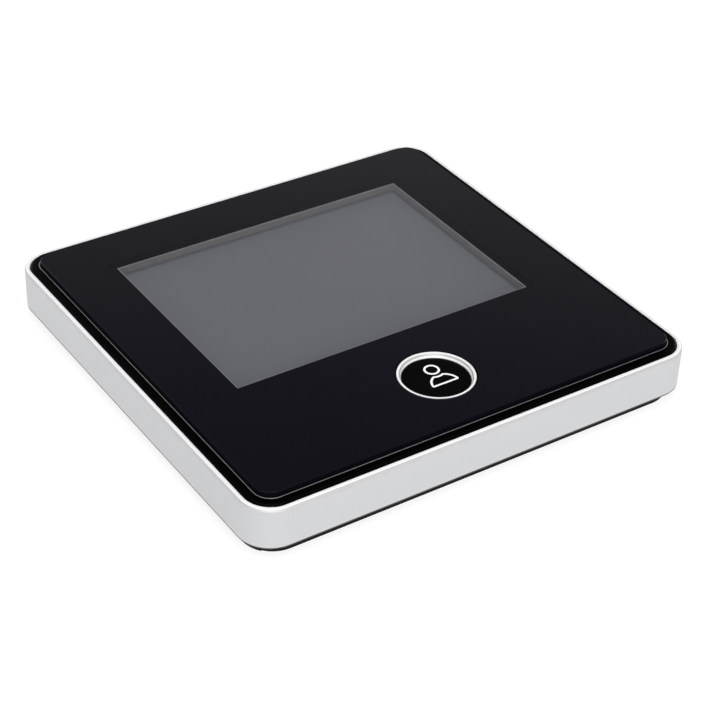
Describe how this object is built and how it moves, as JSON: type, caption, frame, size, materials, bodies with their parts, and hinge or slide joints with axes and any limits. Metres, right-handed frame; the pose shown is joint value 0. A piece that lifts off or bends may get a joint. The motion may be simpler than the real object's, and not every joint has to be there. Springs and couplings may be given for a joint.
{
  "type": "peephole door camera",
  "caption": "Indoor display unit of a door viewer: black panel with grey screen and round push button in a satin silver frame, sliding battery door behind.",
  "frame": {"origin": "middle of the outline at the flat of the rear cover, on which the unit lies", "axes": "+Z out of the face, +Y towards the unit's upper edge, +X to the right as seen from in front"},
  "size_m": [0.125, 0.121, 0.016],
  "materials": {
    "satin_silver": "fine satin with a polished lip",
    "clear_acrylic": "polished, printed black behind but for the window",
    "black_film": "black adhesive sheet",
    "black_gloss": "polished black moulding",
    "black_satin": "fine spark texture",
    "grey_foam": "closed cell foam",
    "screen_grey": "unlit display glass",
    "light_guide": "white diffuser",
    "tray_steel": "thin folded steel",
    "ribbon_film": "amber film",
    "board_green": "green solder mask",
    "chip_black": "moulded chip body",
    "coil_grey": "ferrite",
    "capacitor_tan": "ceramic",
    "socket_cream": "cream nylon",
    "cell_wrap": "printed film wrap",
    "contact_nickel": "nickel plate",
    "ring_chrome": "bright chrome",
    "button_black": "polished black",
    "switch_black": "nylon",
    "speaker_steel": "pressed steel",
    "cone_paper": "coated paper",
    "magnet_grey": "plated magnet",
    "screw_black": "black zinc",
    "screw_steel": "zinc"
  },
  "bodies": {
    "unit": {"metal_frame": "satin_silver", "front_panel": "clear_acrylic", "panel_adhesive": "black_film", "front_bezel": "black_gloss", "lcd_gasket": "grey_foam", "lcd_glass": "screen_grey", "lcd_backlight": "light_guide", "lcd_frame": "tray_steel", "lcd_ribbon": "ribbon_film", "main_board": "board_green", "processor": "chip_black", "memory_chip": "chip_black", "power_coils": "coil_grey", "capacitors": "capacitor_tan", "ribbon_socket": "socket_cream", "camera_socket": "socket_cream", "rear_cover": "black_satin", "battery_cell_1": "cell_wrap", "battery_cell_2": "cell_wrap", "battery_cell_3": "cell_wrap", "spring_contacts": "contact_nickel", "button_contacts": "contact_nickel", "contact_springs": "contact_nickel", "button_ring": "ring_chrome", "button_board": "board_green", "push_switch": "switch_black", "button_lead": "ribbon_film", "speaker_basket": "speaker_steel", "speaker_cone": "cone_paper", "speaker_magnet": "magnet_grey", "case_screws": "screw_black", "board_screws": "screw_steel", "button_screws": "screw_steel"},
    "button": {"button_cap": "button_black", "switch_plunger": "switch_black"},
    "battery_door": {"battery_door": "black_satin"}
  },
  "joints": [
    {"name": "button_press", "type": "slide", "parent": "unit", "child": "button", "axis": [0, 0, -1], "range_m": [0, 0.0004], "stiffness_N_per_m": 4000},
    {"name": "battery_door_slide", "type": "slide", "parent": "unit", "child": "battery_door", "axis": [-1, 0, 0], "range_m": [0, 0.052]}
  ]
}
